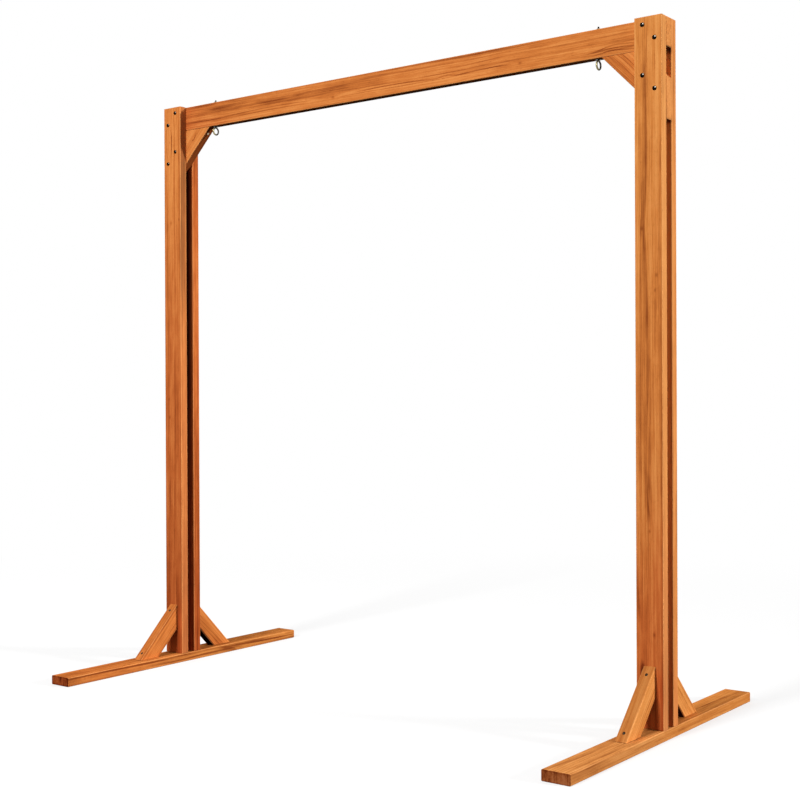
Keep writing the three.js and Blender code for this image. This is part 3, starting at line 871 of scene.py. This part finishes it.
GRAINS = {
    "crossbeam": Grain(
        seed=2, stains=(RUSSET, AMBER, HONEY), turns=((0.0, 0.2), (0.6, 1.5)), pith=(-0.1, -0.05),
        lean=(0.006, 0), year=6.6, rings=0.36, end_grain=0.0, side_share=0.2, shade=0.5,
        features=[
            # Painted shade: near-black tops of the posts' slots, under the beam's ends
            Streak((1.02, 0, 2.045), 50, 4, 2.4, depth=40),
            Streak((-1.02, 0, 2.045), 50, 4, 2.4, depth=40),
            Seam([(-0.9, 2.085), (-0.72, 2.09), (-0.52, 2.088), (-0.33, 2.083), (-0.24, 2.072),
                  (-0.17, 2.084), (0, 2.088)], 24, 3, 0.16),
            Seam([(-0.09, 2.077), (0.06, 2.0775), (0.15, 2.0745), (0.21, 2.0717), (0.267, 2.0755),
                  (0.303, 2.072), (0.38, 2.076), (0.5, 2.074)], 2.2, 2.2, 0.5),
            Seam([(-0.95, 2.072), (-0.866, 2.0702), (-0.787, 2.071), (-0.677, 2.075), (-0.551, 2.0782),
                  (-0.428, 2.0773), (-0.333, 2.0747)], 2, 2.5, 0.42),
            Seam([(-0.83, 2.06), (-0.787, 2.0616), (-0.677, 2.0657), (-0.576, 2.0687), (-0.452, 2.069),
                  (-0.333, 2.0657)], 2, 2.5, 0.36),
            Seam([(-0.95, 2.134), (0, 2.134), (0.95, 2.134)], 8, 9, 0.26),
            Seam([(0.8, 2.063), (0.834, 2.0682), (0.862, 2.0744), (0.892, 2.0759),
                  (0.944, 2.0713)], 1.8, 1.8, 0.55),
            Seam([(0.8, 2.061), (0.834, 2.0643), (0.862, 2.0668), (0.892, 2.0672),
                  (0.944, 2.0648)], 1.5, 1.5, 0.5),
            Seam([(0.8, 2.053), (0.837, 2.0563), (0.871, 2.0606), (0.908, 2.0582),
                  (0.944, 2.0552)], 1.8, 1.8, 0.45),
            Seam([(0.845, 2.0513), (0.883, 2.0511), (0.944, 2.0489)], 1.6, 1.6, 0.35),
            Streak((0.45, 2.13), 200, 8, 0.22),
            Streak((-0.77, 2.109), 70, 7, 0.4, slant=0.01),
            Streak((-0.52, 2.099), 70, 9, 0.34, slant=-0.03),
            Streak((-0.235, 2.103), 70, 11, 0.2),
            Streak((0.535, 2.066), 90, 12, 0.22),
            Knot((-0.226, 2.072), 4, (100, 20), 0.45),
            Knot((0.546, 2.073), 4, (70, 16), 0.4),
            Knot((1.06, 2.05), 2, (140, 40)),
            Bold((0.93, 2.06), 110, 16, 0.4),
            Bold((0.1, 2.068), 350, 16, 0.6),
        ],
    ),
    "post_board_front_right": Grain(
        seed=14, stains=(FOOT_STAIN_AND_SHADE, RUSSET, AMBER, HONEY), turns=((0.0, 0.1), (0.16, 0.4), (0.1, 1.2)),
        pith=(-0.12, 0), lean=(0.003, 0), year=6.3, rings=0.4, tone=0.22, side_share=0.3, slot=0.7,
        front=-0.048,
        features=[
            # Painted shadow of the front foot brace, on the post's face beside its top
            Streak((0.984, 0.185), 40, 8, 1.3, depth=8),
            Seam([(1.008, 2.13), (1.002, 2), (1, 1.888), (1.002, 1.77), (0.999, 1.653), (0.995, 1.535),
                  (0.999, 1.4165), (1.003, 1.298), (1.005, 1.062), (1, 0.944), (0.998, 0.826),
                  (1.008, 0.66)], 2.5, 8, 0.45),
            Seam([(1.049, 2.13), (1.047, 1.5), (1.048, 0.1)], 5, 6, 0.3),
            Streak((1.028, 2.04), 100, 5, 0.34),
            Streak((1.028, 1.25), 120, 3, 0.3),
            Streak((0.983, 1.1), 260, 15, 0.2),
            Streak((0.968, 0.44), 90, 6, 0.5, slant=-0.09),
            Streak((1.01, 0.74), 50, 6, 0.24, slant=-0.15),
            Knot((0.986, 1.51), 4, (50, 14), 0.3),
            Knot((1.033, 1.37), 4, (50, 14), 0.35),
            Knot((1.028, 1.326), 3.5, (40, 12), 0.35),
            Knot((1.008, 0.616), 3.5, (40, 14), 0.4),
            Knot((1.022, 0.312), 4.5, (50, 16), 0.45),
        ],
    ),
    "post_board_rear_right": Grain(
        seed=23, stains=(RUSSET, AMBER), turns=((0.0, 0.1),), pith=(-0.11, 0.02), lean=(-0.004, 0),
        year=5.9, rings=0.35, tone=0.2, side_share=0.2, slot=-0.9,
        features=[
            Streak((1.052, 0.03, 1.95), 200, 3, 0.4),
            # Painted shade: near-black tops of the slots, on the rear board's inner face
            Streak((1.03, 0.015, 2.043), 12, 26, 2.2, depth=5),
            Streak((1.03, 0.015, 1.838), 14, 26, 2.2, depth=5),
        ],
    ),
    "post_board_front_left": Grain(
        seed=31, stains=(FOOT_STAIN_AND_SHADE, RUSSET, AMBER), turns=((0.0, 0.4), (0.45, 0.9)), pith=(-0.12, 0.01),
        lean=(-0.003, 0), year=7.5, tone=0.26, side_share=0.15, slot=1.0, slot_light_and_shade=PAINTED_SLOT_SHADE,
        front=-0.048,
        features=[
            # Painted shade on the upper part of the inner side, below the beam and the knee brace
            Streak((-0.963, -0.034, 1.75), 380, 10, 0.7, depth=14),
            Streak((-0.963, -0.045, 1.8), 400, 4, 0.8, depth=4),
            Seam([(-1.036, 1.9), (-1.034, 1.5), (-1.03, 1.1), (-1.027, 0.7), (-1.03, 0.2)], 4, 6, 0.3),
            Seam([(-1, 1.2), (-0.999, 0.8), (-1.001, 0.5), (-0.992, 0.2)], 8, 4, 0.26),
            Streak((-1.02, 0.62), 220, 10, 0.24),
            Bold((-1.02, 1.99), 60, 25, 1.3),
            Knot((-1.02, 2), 3, (60, 30), 0.35),
            Knot((-1.015, 1.69), 5, (60, 20), 0.4),
            Knot((-0.972, 1.7), 3.5, (50, 14), 0.35),
            Knot((-1.026, 0.94), 4, (50, 14), 0.5),
            Knot((-1.03, 1.01), 3, (50, 14), 0.4),
            Streak((-0.963, -0.032, 1.95), 200, 4, 0.5),
            Streak((-0.963, -0.022, 1.6), 500, 2.5, 0.3),
        ],
    ),
    "post_board_rear_left": Grain(
        seed=44, stains=(FOOT_STAIN_AND_SHADE, RUSSET), turns=((0.1, 0.5),), pith=(0.1, 0.03), year=6.8, tone=0.34,
        slot=-0.92, slot_light_and_shade=PAINTED_SLOT_SHADE,
    ),
    "floor_runner_right": Grain(
        seed=52, stains=(PALE, HONEY), turns=((0.3, 0.6),), pith=(0.1, 0.01), lean=(0.012, 0), year=6.2,
        rings=0.24, tone=0.34, side_share=0.12, side_light_and_shade=PAINTED_NARROW_SHADE,
        features=[
            Streak((1.012, 0.39, 0.032), 180, 4, 0.5, slant=0.05),
            Streak((0.99, -0.44, 0.032), 160, 5, 0.26, slant=0.1),
            Streak((1.03, -0.44, 0.032), 120, 5, 0.24, slant=0.05),
            Streak((1.052, -0.47, 0.012), 140, 6, 0.28, slant=0.02),
            Streak((1.052, -0.139, 0.012), 120, 3, 0.26),
            Streak((1.052, 0.13, 0.01), 160, 5, 0.22),
        ],
    ),
    "floor_runner_left": Grain(
        seed=61, stains=(AMBER, HONEY), turns=((0.1, 0.7),), pith=(-0.08, 0.02), lean=(-0.012, 0), year=6.4,
        rings=0.6, tone=0.48, end_grain=1.0,
        features=[
            Streak((-0.963, -0.35, 0.024), 240, 8, 0.7, depth=3),
            Streak((-0.963, 0.05, 0.012), 240, 8, 0.7, depth=3),
            Streak((-0.963, 0.38, 0.019), 200, 8, 0.8, depth=3),
        ],
    ),
    "knee_brace_right": Grain(
        seed=73, stains=(AMBER,), pith=(-0.09, 0.03), lean=(0.03, 0), year=4.6, rings=0.22, tone=0.28,
        end_grain=0.0, side_share=0.3,
        features=[
            # Painted shade: near-black top of the lower slot, under the knee brace's end
            Streak((1.02, 0, 1.862), 45, 4, 2.4, depth=40),
            Seam([(0.873, 2.0424), (0.906, 2.0116), (0.943, 1.973)], 1.6, 2, 0.4),
            Seam([(0.891, 2.044), (0.9165, 2.0235), (0.943, 1.997)], 1.6, 1.6, 0.45),
            Seam([(0.903, 2.046), (0.92, 2.032), (0.943, 2.009)], 1.6, 1.6, 0.45),
        ],
    ),
    "knee_brace_left": Grain(
        seed=84, stains=(AMBER,), pith=(0.1, 0.03), lean=(0.03, 0), year=6.4, rings=0.45, tone=0.16,
        end_grain=0.3,
        features=[
            Knot((-0.928, 2.004), 3, (30, 14), 0.45),
            Streak((-0.917, 2.014), 15, 2.5, 0.45, slant=0.3),
        ],
    ),
    "foot_brace_front_right": Grain(
        seed=91, stains=(HONEY,), pith=(0.09, 0.02), lean=(0.02, 0.02), year=5, rings=0.6, tone=0.34,
        side_share=0.3, side_light_and_shade=PAINTED_NARROW_SHADE,
    ),
    "foot_brace_rear_right": Grain(
        seed=102, stains=(HONEY,), pith=(-0.09, 0.02), lean=(0.02, 0.01), year=5, rings=0.6, tone=0.34,
        side_share=0.3, side_light_and_shade=PAINTED_NARROW_SHADE,
        # Painted shade under the rear foot brace
        features=[Streak((1.0075, 0.097, 0.081), 90, 4, 2, depth=40)],
    ),
    "foot_brace_front_left": Grain(
        seed=113, stains=(AMBER,), pith=(0.09, -0.02), lean=(0.02, 0.01), year=5.6, rings=0.8, tone=0.44,
    ),
    "foot_brace_rear_left": Grain(
        seed=121, stains=(AMBER,), pith=(-0.09, -0.02), lean=(0.02, 0.01), year=5.6, rings=0.8, tone=0.44,
        # Painted shade under the rear foot brace
        features=[Streak((-1.0075, 0.097, 0.081), 90, 4, 2, depth=40)],
    ),
}


def timber_of(side_name):
    """The posts, runner and braces of one side."""
    side = SIDES[side_name]
    screws = screw_holes(side_name)
    bores = bolt_holes(bolts_of(side_name))
    for end in ENDS:
        own = [screws[name] for name in screws if end in name and "lower" not in name]
        square_board(f"post_board_{end}_{side_name}", UP, ACROSS, BACK, bores + own)
    own = [screws[name] for name in screws if "post_foot" in name or "lower" in name]
    square_board(f"floor_runner_{side_name}", BACK, ACROSS, -UP, own)
    knee = f"knee_brace_{side_name}"
    cutters = bolt_holes(bolts_of(side_name, ["knee"])) + [screws[f"{knee}_screw"]]
    brace(knee, ACROSS, side, 1, extent("crossbeam").size.z, cutters)
    for end, front in ENDS.items():
        foot = f"foot_brace_{end}_{side_name}"
        cutters = [screws[f"{foot}_upper_screw"], screws[f"{foot}_lower_screw"]]
        brace(foot, BACK, -front, -1, FOOT_BRACE_WIDTH, cutters)


def crossbeam():
    """The beam, drilled for the bolts, the eye bolts and the knee braces' screws."""
    cutters = []
    level = extent("crossbeam").middle.z
    for side_name in SIDES:
        cutters += bolt_holes(bolts_of(side_name, ["beam"]))
        eye = extent(f"eye_bolt_{side_name}")
        cutters.append(hole(Vector((eye.middle.x, eye.middle.y, level)), UP, eye.size.z, EYE_ROD))
        cutters.append(screw_holes(side_name)[f"knee_brace_{side_name}_screw"])
    square_board("crossbeam", ACROSS, UP, -BACK, cutters)


# Fasteners


def steel_piece(node, shape, material):
    """The piece of one turned shape."""
    return piece_of(f"{node}_steel", mesh_of(f"{node}_steel", *shape), material, node)


def rub_and_light(mesh, amounts):
    """Says how far each point of a mesh shows bare metal, for wear and for painted light."""
    rubbed = mesh.attributes.new("rubbed", "FLOAT", "POINT")
    rubbed.data.foreach_set("value", amounts.astype(np.float32))


def dome_bolt(node, material):
    """A round-headed bolt, its head to the front and its threaded end to the rear."""
    box = extent(node)
    head, dome = BOLT_HEAD / 2, BOLT_HEAD_HEIGHT - BOLT_HEAD_RIM
    seat = Vector((box.middle.x, box.low.y + BOLT_HEAD_HEIGHT, box.middle.z))
    end = box.high.y - seat.y
    angle = np.linspace(0, math.pi / 2, CROWN_STEPS)
    crown = np.stack([head * np.sin(angle), -BOLT_HEAD_RIM - dome * np.cos(angle)], 1)
    ease = BOLT_HEAD_RIM / 4
    rim = [(head, -ease), (head - ease, 0)]
    radius, height = profile(crown, rim, [(BOLT / 2, 0)], *rod_end(BOLT / 2, EASED_EDGE, end))
    radius = threaded(radius, height, end - THREAD_LENGTH, end)
    return steel_piece(node, turned(radius, height, seat, BACK), material)


def washer(node, direction, hole_diameter, material):
    """A flat washer, its edges rounded off by a fifth of its thickness."""
    box = extent(node)
    thick, wide = min(box.size), max(box.size) / 2
    bore = hole_diameter / 2 + BORE_CLEARANCE
    ease = thick / 5
    radius, height = profile([
        (bore, ease), (bore + ease, 0), (wide - ease, 0), (wide, ease),
        (wide, thick - ease), (wide - ease, thick), (bore + ease, thick), (bore, thick - ease),
    ])
    start = box.middle - direction * thick / 2
    steel_piece(node, turned(radius[:, None], height, start, direction, closed=True), material)


def hex_nut(node, direction, hole_diameter, material):
    """A hex nut: at each angle the radius is the hexagon's, or the chamfer cone's where that is less.

    The hexagon's radius is half its width over the cosine of the angle from the nearest flat.
    """
    box = extent(node)
    thick = min(box.size)
    bore, flat = hole_diameter / 2 + BORE_CLEARANCE, NUT_WIDTH / 2
    from_flat = (TURN + math.pi / 6) % (math.pi / 3) - math.pi / 6
    hexagon = flat / np.cos(from_flat)
    rise = np.linspace(0, NUT_CHAMFER, CHAMFER_STEPS)
    level = np.concatenate([rise, thick - rise[::-1]])
    cone = NUT_FACE * flat + np.minimum(level, thick - level) / math.tan(math.pi / 6)
    outer = np.minimum(hexagon[None, :], cone[:, None])
    walls = np.full((1, TURN_STEPS), bore)
    radius = np.concatenate([walls, outer, walls])
    height = np.concatenate([[0], level, [thick]])
    start = box.middle - direction * thick / 2
    steel_piece(node, turned(radius, height, start, direction, closed=True), material)


def screw_piece(node, direction, material):
    """A countersunk screw: head, cone and shank as one turned profile, with a cross recess.

    The recess sinks the head's face where the distance to the nearer arm of the cross is small. There the
    coat is worn off, and the bare metal also stands in for the recess's glint, as painted light.
    """
    head, length = screw_place(node, direction)
    wide, slim = SCREW_HEAD / 2, SCREW / 2
    across = np.linspace(0, SCREW_FACE * wide, HEAD_STEPS)
    body = np.linspace(SCREW_HEAD_DEPTH, length - SCREW_TIP, SHANK_STEPS)
    radius = np.concatenate([across, [wide, wide], np.full_like(body, slim), [0]])
    height = np.concatenate([0 * across, [SCREW_HEAD_EASE, SCREW_HEAD_LIP], body, [length]])
    arm = np.minimum(np.abs(np.cos(TURN)), np.abs(np.sin(TURN)))[None, :] * across[:, None]
    within = np.clip((RECESS_REACH * wide - across) / RECESS_END, 0, 1)[:, None]
    recess = np.clip((RECESS_ARM - arm) / RECESS_WALL, 0, 1) * within
    points, faces = turned(radius[:, None], height, head, direction)
    sunk = np.zeros(len(points))
    sunk[:len(across[1:]) * TURN_STEPS] = recess[1:].ravel()
    sunk[-2] = recess[0, 0]
    points += RECESS_DEPTH * sunk[:, None] * np.array(direction)
    screw = steel_piece(node, (points, faces), material)
    rub_and_light(screw.data, sunk)


def eye_bolt(node, material):
    """A closed ring under a threaded rod, joined by a short flared neck.

    Its front half shows bare brass as painted light, by twice the share of its reach a point stands forward.
    """
    box = extent(node)
    crown = box.size.y / 2
    rod = EYE_ROD / 2
    ring_radius = crown - rod
    centre = Vector((box.middle.x, box.middle.y, box.low.z + crown))
    around = np.arange(RING_STEPS)[:, None] * (2 * math.pi / RING_STEPS)
    tube = np.arange(ROD_STEPS)[None, :] * (2 * math.pi / ROD_STEPS)
    reach = ring_radius + rod * np.cos(tube)
    aside = np.broadcast_to(rod * np.sin(tube), (RING_STEPS, ROD_STEPS))
    ring = np.stack([aside, reach * np.cos(around), reach * np.sin(around)], -1) + np.array(centre)
    top = box.high.z - centre.z
    flare = np.linspace(0, 1, NECK_STEPS)
    neck = EYE_NECK / 2 - (EYE_NECK / 2 - rod) * np.sin(flare * math.pi / 2)
    lift = ring_radius + (crown - ring_radius) * flare
    radius, height = profile([(0, ring_radius)], np.stack([neck, lift], 1), *rod_end(rod, crown + rod, top))
    radius = threaded(radius, height, top - THREAD_LENGTH, top)
    ring_mesh = mesh_of("ring", ring, grid_faces(RING_STEPS, ROD_STEPS, wrap_rows=True))
    shank_mesh = mesh_of("shank", *turned(radius, height, centre, UP))
    mesh = combined(f"{node}_steel", ring_mesh, shank_mesh, "UNION")
    places = np.empty(3 * len(mesh.vertices), np.float32)
    mesh.vertices.foreach_get("co", places)
    places = places.reshape(-1, 3) - np.array(centre)
    # Painted light: the ring's front half, where the front light falls, shows bare brass; the rear half
    # keeps the dark coat
    rub_and_light(mesh, np.clip(-2 * places[:, 1] / crown, 0, 1) * (places[:, 2] < ring_radius))
    piece_of(f"{node}_steel", mesh, material, node)


crossbeam()
bolt_steel = coated_steel(
    "dark_bolt_steel", (0.004, 0.0035, 0.003), (0.016, 0.014, 0.012), 1.0, 0.2, rim=0.1,
)
screw_steel = coated_steel("brown_screw_steel", (0.03, 0.024, 0.02), (0.42, 0.3, 0.17), 1.0, 0.36)
# Painted highlight: the knee brace's screw is the screw steel mostly bared to paler metal, so that it shows
# bright
knee_screw_highlight_steel = coated_steel("painted_highlight_screw_steel", (0.03, 0.024, 0.02), (0.7, 0.6, 0.42), 1.0, 0.36, 0.7)
eye_steel = coated_steel("aged_brass", (0.03, 0.026, 0.02), (0.3, 0.26, 0.13), 0.85, 0.3)
bolts = bpy.data.collections.new("bolts")
for side_name in SIDES:
    timber_of(side_name)
    for bolt in bolts_of(side_name):
        bolts.objects.link(dome_bolt(bolt, bolt_steel))
        washer(f"{bolt}_washer", BACK, BOLT, bolt_steel)
        hex_nut(f"{bolt}_nut", BACK, BOLT, bolt_steel)
    for screw_node, screw_direction in screws_of(side_name):
        screw_piece(screw_node, screw_direction, knee_screw_highlight_steel if "knee" in screw_node else screw_steel)
    eye = f"eye_bolt_{side_name}"
    eye_bolt(eye, eye_steel)
    washer(f"{eye}_lower_washer", UP, EYE_ROD, eye_steel)
    washer(f"{eye}_top_washer", UP, EYE_ROD, eye_steel)
    hex_nut(f"{eye}_nut", UP, EYE_ROD, eye_steel)


# Studio

WHITE = (1, 1, 1, 1)
SKY = 0.4
FLOOR_REACH = 60
SHADOW_ENDS = (1.8, 4.5)
SENSOR = 36


def seen_directly(finish):
    """1 for rays that show the studio itself, straight, in gloss or through glass."""
    rays = finish.node("ShaderNodeLightPath").outputs
    seen = Reading(finish, rays["Is Camera Ray"])
    for name in ("Is Glossy Ray", "Is Transmission Ray"):
        seen = finish.sum("MAXIMUM", seen, Reading(finish, rays[name]))
    return seen


def matt(finish, grey):
    return finish.read("ShaderNodeBsdfDiffuse", {}, {"Color": (grey, grey, grey, 1)})


def glow(finish, strength):
    return finish.read("ShaderNodeEmission", {}, {"Color": WHITE, "Strength": strength})


def pale_floor():
    """A white floor that keeps the stand's shadow and sends little light up under it.

    It glows, and a faint lit skin over the glow takes the shadow. Away from the stand it glows alone.
    """
    finish = Finish(bpy.data.materials.new("pale_floor"))
    near = finish.read("ShaderNodeAddShader", {}, {0: matt(finish, 0.3), 1: glow(finish, 0.675)})
    away = finish.step(finish.vector("LENGTH", finish.coordinates(), output="Value"), *SHADOW_ENDS)
    shown = finish.read("ShaderNodeMixShader", {}, {0: away, 1: near, 2: glow(finish, 1.0)})
    direct = seen_directly(finish)
    surface = finish.read("ShaderNodeMixShader", {}, {0: direct, 1: matt(finish, 0.02), 2: shown})
    corners = [(-1, -1, 0), (1, -1, 0), (1, 1, 0), (-1, 1, 0)]
    mesh = mesh_of("floor", np.array(corners) * FLOOR_REACH, [(0, 1, 2, 3)])
    mesh.materials.append(finish.ended(surface))
    added("floor", mesh)


def studio_world():
    """An even sky, white where it is seen and softer where it lights the stand."""
    finish = Finish(bpy.data.worlds.new("studio"))
    inputs = {"Value": seen_directly(finish), "To Min": SKY, "To Max": 1.0}
    strength = finish.read("ShaderNodeMapRange", {}, inputs)
    background = finish.read("ShaderNodeBackground", {}, {"Color": WHITE, "Strength": strength})
    bpy.context.scene.world = finish.ended(background, "ShaderNodeOutputWorld")


def hang(name, lamp, place, towards):
    """Hangs a lamp so that it shines away from a direction, and gives the lamp's object."""
    made = added(name, lamp)
    made.location = place
    made.rotation_mode = "QUATERNION"
    made.rotation_quaternion = Vector(towards).to_track_quat("Z", "Y")
    made.visible_camera = False
    return made


def sun(name, towards, level, spread):
    """A soft sun that shines from a direction, and lights a white face turned to it to a level."""
    lamp = bpy.data.lights.new(name, "SUN")
    lamp.energy = math.pi * level
    lamp.angle = math.radians(spread)
    hang(name, lamp, (0, 0, 0), towards)


def softbox(name, place, aim, size, level):
    """A square lamp, which lights a white face at its aim, turned to it, to a level."""
    lamp = bpy.data.lights.new(name, "AREA")
    towards = Vector(place) - Vector(aim)
    lamp.size = size
    lamp.energy = level * math.pi ** 2 * towards.length_squared
    return hang(name, lamp, place, towards)


def camera(place, yaw, pitch, roll, lens):
    """The photograph's camera: a pinhole at a measured place, turned by yaw, pitch and roll in degrees."""
    yaw, pitch, roll = (math.radians(angle) for angle in (yaw, pitch, roll))
    forward = Vector((-math.sin(yaw) * math.cos(pitch), math.cos(yaw) * math.cos(pitch), math.sin(pitch)))
    level = Vector((math.cos(yaw), math.sin(yaw), 0))
    upright = level.cross(forward)
    right = level * math.cos(roll) + upright * math.sin(roll)
    above = upright * math.cos(roll) - level * math.sin(roll)
    data = bpy.data.cameras.new("camera")
    data.sensor_width = SENSOR
    data.lens = lens
    made = added("camera", data)
    made.matrix_world = Matrix.Translation(place) @ Matrix((right, above, -forward)).transposed().to_4x4()
    bpy.context.scene.camera = made


pale_floor()
studio_world()
softbox("front_softbox", (-0.1, -8.65, 5.6), (0.0, 0.0, 1.2), 1.6, 0.94)
glint = softbox("bolt_glint", (2.9, -6.0, 7.0), (1.0, 0.0, 2.0), 5.0, 45.0)
glint.visible_diffuse = False
glint.light_linking.receiver_collection = bolts
sun("side_light", (1.0, 0.36, 0.29), 1.06, 10)
sun("rear_fill", (-0.5, 0.8, 0.3), 0.4, 50)
camera((2.7792, -3.6156, 1.016), 37.023, -0.1425, -0.2327, 59.794)
bpy.context.scene.view_settings.view_transform = "Standard"
